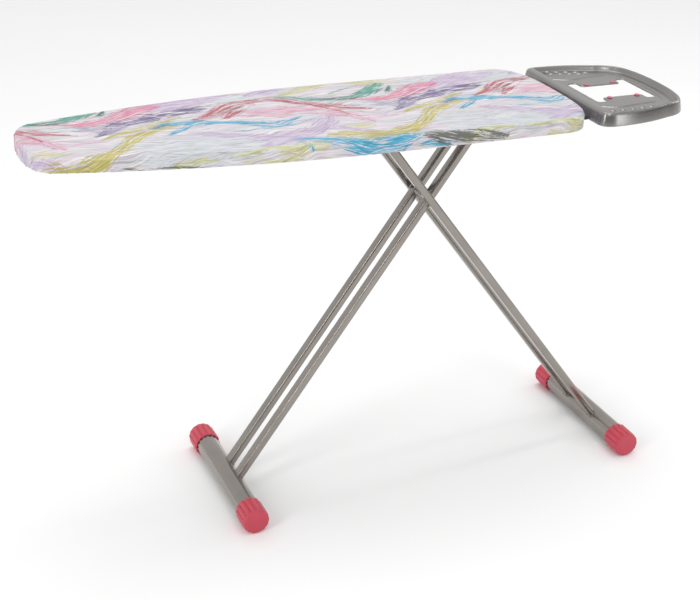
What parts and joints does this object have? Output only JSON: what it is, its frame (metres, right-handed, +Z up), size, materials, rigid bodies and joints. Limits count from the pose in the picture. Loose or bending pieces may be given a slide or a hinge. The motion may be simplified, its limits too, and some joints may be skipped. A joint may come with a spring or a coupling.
{
  "type": "ironing board",
  "caption": "Folding ironing board with a padded fabric-covered top, an open tray iron rest and crossed twin-tube legs on wide tube feet with ribbed end caps.",
  "frame": {"origin": "on the floor, under the middle of the overall length and width", "axes": "+X from the rounded nose towards the iron rest, +Y across the board away from the near side, +Z up"},
  "size_m": [1.472, 0.394, 0.88],
  "materials": {
    "cover_fabric": "printed cotton, pale lilac-white with brushed coloured strokes",
    "pad_foam": "open-cell foam sheet",
    "deck_paint": "satin grey powder coat",
    "leg_paint": "warm grey metallic, semi-gloss",
    "tray_paint": "satin metallic grey",
    "zinc": "bright zinc plate",
    "dark_steel": "satin black",
    "cap_plastic": "satin coral red",
    "silicone": "matte pink silicone",
    "nylon": "natural nylon"
  },
  "bodies": {
    "board": {"cover": "cover_fabric", "foam_pad": "pad_foam", "deck_pan": "deck_paint", "nose_channel": "deck_paint", "hinge_channel": "deck_paint", "tail_channel": "deck_paint", "hinge_bracket": "zinc", "hinge_pin": "zinc", "hinge_spacer": "nylon", "rack_near": "zinc", "rack_far": "zinc", "lever_bracket": "zinc", "lever_pin": "zinc", "lever_spring": "zinc", "iron_rest_tray": "tray_paint", "stud_inner_near": "silicone", "stud_inner_far": "silicone", "stud_outer_near": "silicone", "stud_outer_far": "silicone", "rest_strap_near": "dark_steel", "rest_strap_far": "dark_steel", "rest_screw_near_1": "zinc", "rest_screw_near_2": "zinc", "rest_screw_far_1": "zinc", "rest_screw_far_2": "zinc", "strap_rivet_near": "zinc", "strap_rivet_far": "zinc"},
    "inner_legs": {"hinge_bush_near": "nylon", "hinge_bush_far": "nylon", "inner_leg_near": "leg_paint", "inner_leg_far": "leg_paint", "pivot_sleeve": "leg_paint", "inner_foot_tube": "leg_paint", "inner_foot_cap_near": "cap_plastic", "inner_foot_cap_far": "cap_plastic"},
    "outer_legs": {"outer_leg_near": "leg_paint", "outer_leg_far": "leg_paint", "pivot_rod": "zinc", "pivot_washer_near": "nylon", "pivot_washer_far": "nylon", "outer_foot_tube": "leg_paint", "outer_foot_cap_near": "cap_plastic", "outer_foot_cap_far": "cap_plastic", "slider_bar": "zinc", "slider_glide_near": "nylon", "slider_glide_far": "nylon"},
    "lever": {"release_lever": "zinc", "lever_grip": "cap_plastic"}
  },
  "joints": [
    {"name": "leg_fold", "type": "hinge", "parent": "board", "child": "inner_legs", "pos_m": [0.25669, 0, 0.832], "axis": [0, 1, 0], "range_deg": [0, 51.53]},
    {"name": "cross_pivot", "type": "hinge", "parent": "inner_legs", "child": "outer_legs", "pos_m": [0.142, 0, 0.668], "axis": [0, 1, 0], "range_deg": [-100.46, 0]},
    {"name": "lever_press", "type": "hinge", "parent": "board", "child": "lever", "pos_m": [0.07606, 0, 0.843], "axis": [0, -1, 0], "range_deg": [0, 10], "stiffness_Nm_per_rad": 0.3, "springref_deg": -8.59}
  ],
  "couplings": [
    {"joint": "cross_pivot", "follows": "leg_fold", "ratio": -1.9456}
  ]
}
